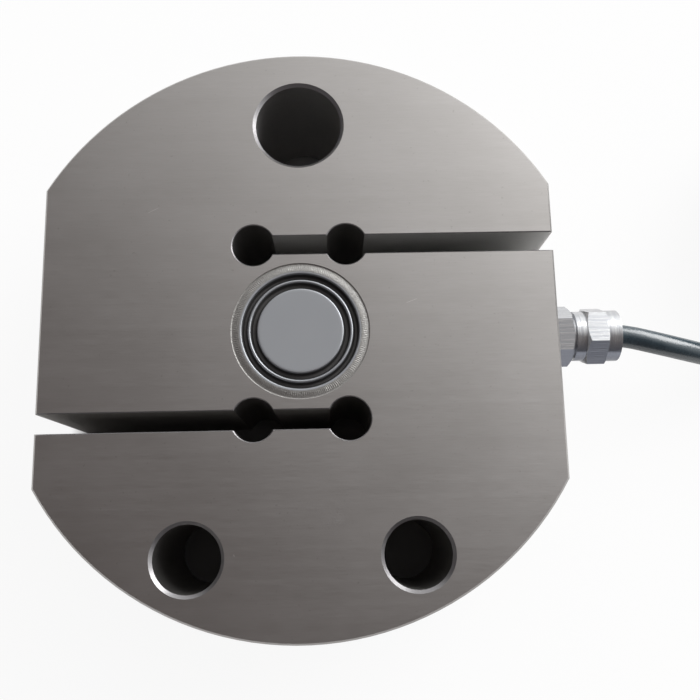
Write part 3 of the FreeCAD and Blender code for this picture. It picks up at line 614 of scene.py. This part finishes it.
def in_rear(points):
    """The profile turned over and seated in the rear face."""
    return [(radius, -height) for radius, height in points]


def make_diaphragms():
    """One corrugated sheet in each face."""
    profile = diaphragm_profile()
    for side, seated in (("front", in_front(profile)), ("rear", in_rear(profile))):
        piece = lathe("diaphragm_" + side, seated, SHEET_SEGMENTS)
        finish_piece(piece, "diaphragm_steel", side + "_diaphragm")


make_diaphragms()

BEAD_FOOT = 0.0014
RIPPLED_SHARE = 0.8
RIPPLE_LAG = 2.8
RIPPLES = 210
RIPPLE_HEIGHT = 0.00003
BEAD_POINTS = 12
BEAD_SEGMENTS = 1680
BEAD_CURVE = [
    (0.0, 0.00012),
    (0.12, 0.00012),
    (0.35, 0.00016),
    (0.6, 0.00023),
    (0.85, 0.00029),
    (0.92, 0.00028),
    (1.0, 0.00022),
]
# Height, waves in a turn and start of the slow waves that make the ripples uneven.
RIPPLE_DRIFT = [(1.4, 5, 0.0), (0.9, 17, 2.0)]
RIPPLE_SWELL = [(0.25, 11, 1.0), (0.2, 37, 0.4)]
SWELL_MIDDLE = 0.55


def waves(turned, parts):
    """Sum of the waves after a share of the turn."""
    return sum(height * math.sin(math.tau * count * turned + start)
               for height, count, start in parts)


def bead_wave(turned, lag):
    """Height from -1 to 1 of the uneven ripples of a weld after a share of its turn."""
    drift = waves(turned, RIPPLE_DRIFT)
    wave = math.cos(math.tau * RIPPLES * turned + drift + lag)
    return (SWELL_MIDDLE + waves(turned, RIPPLE_SWELL)) * wave


def bead_drop(share):
    """How far the bead lies below the face at a share of its width from the rim."""
    for (start, high), (end, low) in zip(BEAD_CURVE, BEAD_CURVE[1:]):
        if share <= end:
            part = (share - start) / (end - start)
            return high + (low - high) * part
    return BEAD_CURVE[-1][1]


def make_weld_beads():
    """Beads that slope from the sheet's rim out to the face, laid round in one pass."""
    inner, outer = sheet_high.x, bead_high.x
    crown = []
    for k in range(BEAD_POINTS + 1):
        share = k / BEAD_POINTS
        crown.append((inner + (outer - inner) * share, -bead_drop(share)))
    profile = [(inner, -BEAD_FOOT)] + crown + [(outer, -BEAD_FOOT)]

    def rippled(sign):
        def lift(turned, i, height):
            share = (i - 1) / BEAD_POINTS
            if 0 < share < RIPPLED_SHARE:
                wave = bead_wave(turned, RIPPLE_LAG * (2 * share - 1) ** 2)
                height += sign * RIPPLE_HEIGHT * wave * math.sin(math.pi * share / RIPPLED_SHARE)
            return height
        return lift

    for side, seated, sign in (("front", in_front(profile), 1), ("rear", in_rear(profile), -1)):
        piece = lathe("weld_bead_" + side, seated, BEAD_SEGMENTS, rippled(sign))
        finish_piece(piece, "weld", side + "_weld_bead")


make_weld_beads()


# --------------------------------------------------------------- coil ties

TIES = [("tie_left", "coil_tie_left", 150.0), ("tie_right", "coil_tie_right", -30.0)]
TAIL_TURNS = 0.185
TIE_WIDTH = 0.004
TIE_THICKNESS = 0.0008
TIE_GAP = 0.00015
TIE_EDGE = 0.00015
TIE_STEPS = 120
TIE_SHARP_FROM = 35
HEAD_REACH = 0.0024
HEAD_WIDTH = 0.0058
HEAD_HEIGHT = 0.005
HEAD_ROUNDING = 0.0005
HEAD_ROUND_STEPS = 3


def coil_passes(azimuth):
    """Radius and height of each pass of the cable, or of its stripped end, at this azimuth."""
    turned = (azimuth - COIL_START) / 360 % 1
    passes = []
    while turned < COIL_TURNS + TAIL_TURNS:
        passes.append(coil_place(min(turned, COIL_TURNS)))
        turned += 1
    return passes


def strap(shape, passes, inner):
    """Closed band drawn round the outermost of the passes."""
    outer = inner + TIE_THICKNESS
    edge = TIE_WIDTH / 2
    section = [(-edge, inner), (-edge, outer - TIE_EDGE), (TIE_EDGE - edge, outer),
               (edge - TIE_EDGE, outer), (edge, outer - TIE_EDGE), (edge, inner)]
    loops = []
    for across, reach in section:
        loop = []
        for k in range(TIE_STEPS):
            angle = math.tau * k / TIE_STEPS
            out, up = math.cos(angle), math.sin(angle)
            radius, height = max(passes, key=lambda place: place[0] * out + place[1] * up)
            loop.append(shape.verts.new((radius + reach * out, across, height + reach * up)))
        loops.append(loop)
    for here, after in zip(loops, loops[1:] + loops[:1]):
        for k in range(TIE_STEPS):
            ahead = (k + 1) % TIE_STEPS
            shape.faces.new((here[k], here[ahead], after[ahead], after[k]))


def tie_head(shape, passes, inner):
    """Rounded block outside the strap, level with the middle of the outermost passes."""
    furthest = max(radius for radius, height in passes)
    levels = [height for radius, height in passes if radius > furthest - TIE_GAP]
    middle = (furthest + inner + HEAD_REACH / 2, 0.0, sum(levels) / len(levels))
    block = Matrix.Diagonal((HEAD_REACH, HEAD_WIDTH, HEAD_HEIGHT, 1.0))
    corners = bmesh.ops.create_cube(shape, size=1.0,
                                    matrix=Matrix.Translation(middle) @ block)["verts"]
    edges = list(dict.fromkeys(edge for corner in corners for edge in corner.link_edges))
    bmesh.ops.bevel(shape, geom=edges, offset=HEAD_ROUNDING, segments=HEAD_ROUND_STEPS,
                    affect="EDGES")


def make_tie(name, node, azimuth):
    """Cable tie drawn round the section of the coil, with its head on the outside."""
    half = math.degrees(TIE_WIDTH / 2 / (coil_outer - LAYERS * CABLE_DIAMETER))
    passes = [place for shift in (-half, 0.0, half) for place in coil_passes(azimuth + shift)]
    inner = CABLE_DIAMETER / 2 + TIE_GAP
    shape = bmesh.new()
    strap(shape, passes, inner)
    tie_head(shape, passes, inner)
    turn = Matrix.Rotation(math.radians(azimuth), 4, "Z")
    shift = Matrix.Translation((coil_centre.x, coil_centre.y, 0.0))
    bmesh.ops.transform(shape, matrix=shift @ turn, verts=shape.verts)
    finish_piece(to_object(shape, name, TIE_SHARP_FROM), "tie_plastic", node)


for tie in TIES:
    make_tie(*tie)


# --------------------------------------------------------- floor and light

FLOOR_HALF = 30.0
FLOOR_DROP = 0.00002
FLOOR_OPEN = (0.93, 0.93, 0.93)
# Painted shade on the floor beneath the object's outline.
FLOOR_PAINTED_SHADE = (0.20, 0.20, 0.20)
UNDER_END, OPEN_START = -0.001, 0.004
CONTACT_SHADE = 0.06
GLOW_SHARE = 0.92


def make_floor():
    """Pale ground that the camera and the metal see as white, and that keeps the shadow; painted
    dark beneath the object as painted shade, and its glow in reflections fades near the object as
    painted shade.
    """
    mesh = bpy.data.meshes.new("floor")
    corners = ((-1, -1), (1, -1), (1, 1), (-1, 1))
    mesh.from_pydata([(FLOOR_HALF * across, FLOOR_HALF * along, -FLOOR_DROP)
                      for across, along in corners], [], [(0, 1, 2, 3)])
    floor = add_object("floor", mesh)
    look = Look("floor_finish", roughness=0.9)
    x, y, _ = look.split(look.place)
    beyond = look.math("MAXIMUM", look.math("SUBTRACT", look.from_axis(x, y), disc_high.y),
                       look.math("SUBTRACT", look.math("ABSOLUTE", x), disc_high.x))
    open_ground = look.span(beyond, UNDER_END, OPEN_START)
    # Painted shade: the floor is dark inside the object's outline.
    look.set("Base Color", look.mix(open_ground, FLOOR_PAINTED_SHADE, FLOOR_OPEN))
    ray = look.add("ShaderNodeLightPath").outputs
    mirrored = look.math("ADD", ray["Is Glossy Ray"], ray["Is Transmission Ray"])
    seen = look.math("ADD", ray["Is Camera Ray"],
                     look.math("MULTIPLY", mirrored, look.span(beyond, 0.0, CONTACT_SHADE)),
                     clamp=True)
    glow = look.add("ShaderNodeEmission")
    look.feed(glow.inputs["Strength"], 1.0)
    blend = look.add("ShaderNodeMixShader")
    share = look.math("MULTIPLY", look.math("MULTIPLY", open_ground, seen), GLOW_SHARE)
    for socket, source in zip(blend.inputs, (share, look.shader.outputs[0], glow.outputs[0])):
        look.feed(socket, source)
    look.feed(look.nodes["Material Output"].inputs["Surface"], blend.outputs[0])
    mesh.materials.append(look.material)


LAMP_TARGET = (0, 0, 0.02)


def make_lamp(name, place, size, power):
    """Soft lamp that faces the middle of the disc."""
    data = bpy.data.lights.new(name, "AREA")
    data.shape = "RECTANGLE"
    data.size, data.size_y = size
    data.energy = power
    lamp = add_object(name, data)
    lamp.location = place
    toward = Vector(LAMP_TARGET) - lamp.location
    lamp.rotation_euler = toward.to_track_quat("-Z", "Y").to_euler()


BRIGHT_SIDE = (0.602, 0.799, 0.0)
BRIGHT_START = 0.04
BRIGHT_FULL = 0.62
ROOM_BRIGHT = (1.34, 1.34, 1.34)
ROOM_DIM_OVERHEAD = (0.114, 0.095, 0.092)
ROOM_DIM_AROUND = (0.155, 0.147, 0.152)
OVERHEAD_START = 0.3
OVERHEAD_FULL = 0.8
WHITE = (1.0, 1.0, 1.0)


def make_world():
    """Room with a bright side beyond the upper right and a dim side; the camera sees white."""
    world = bpy.data.worlds.new("room")
    scene.world = world
    world.use_nodes = True
    room = Graph(world.node_tree)
    way = room.add("ShaderNodeTexCoord").outputs["Generated"]
    side = room.add("ShaderNodeVectorMath", operation="DOT_PRODUCT")
    room.feed(side.inputs[0], way)
    room.feed(side.inputs[1], BRIGHT_SIDE)
    overhead = room.span(room.split(way)[2], OVERHEAD_START, OVERHEAD_FULL)
    dim = room.mix(overhead, ROOM_DIM_AROUND, ROOM_DIM_OVERHEAD)
    bright = room.span(side.outputs["Value"], BRIGHT_START, BRIGHT_FULL)
    light = room.mix(bright, dim, ROOM_BRIGHT)
    camera_ray = room.add("ShaderNodeLightPath").outputs["Is Camera Ray"]
    room.feed(room.nodes["Background"].inputs["Color"], room.mix(camera_ray, light, WHITE))


make_floor()
make_world()
make_lamp("window", (1.10, 0.92, 0.70), (1.1, 1.1), 24.0)


# ---------------------------------------------------------------- update

bpy.context.view_layer.update()
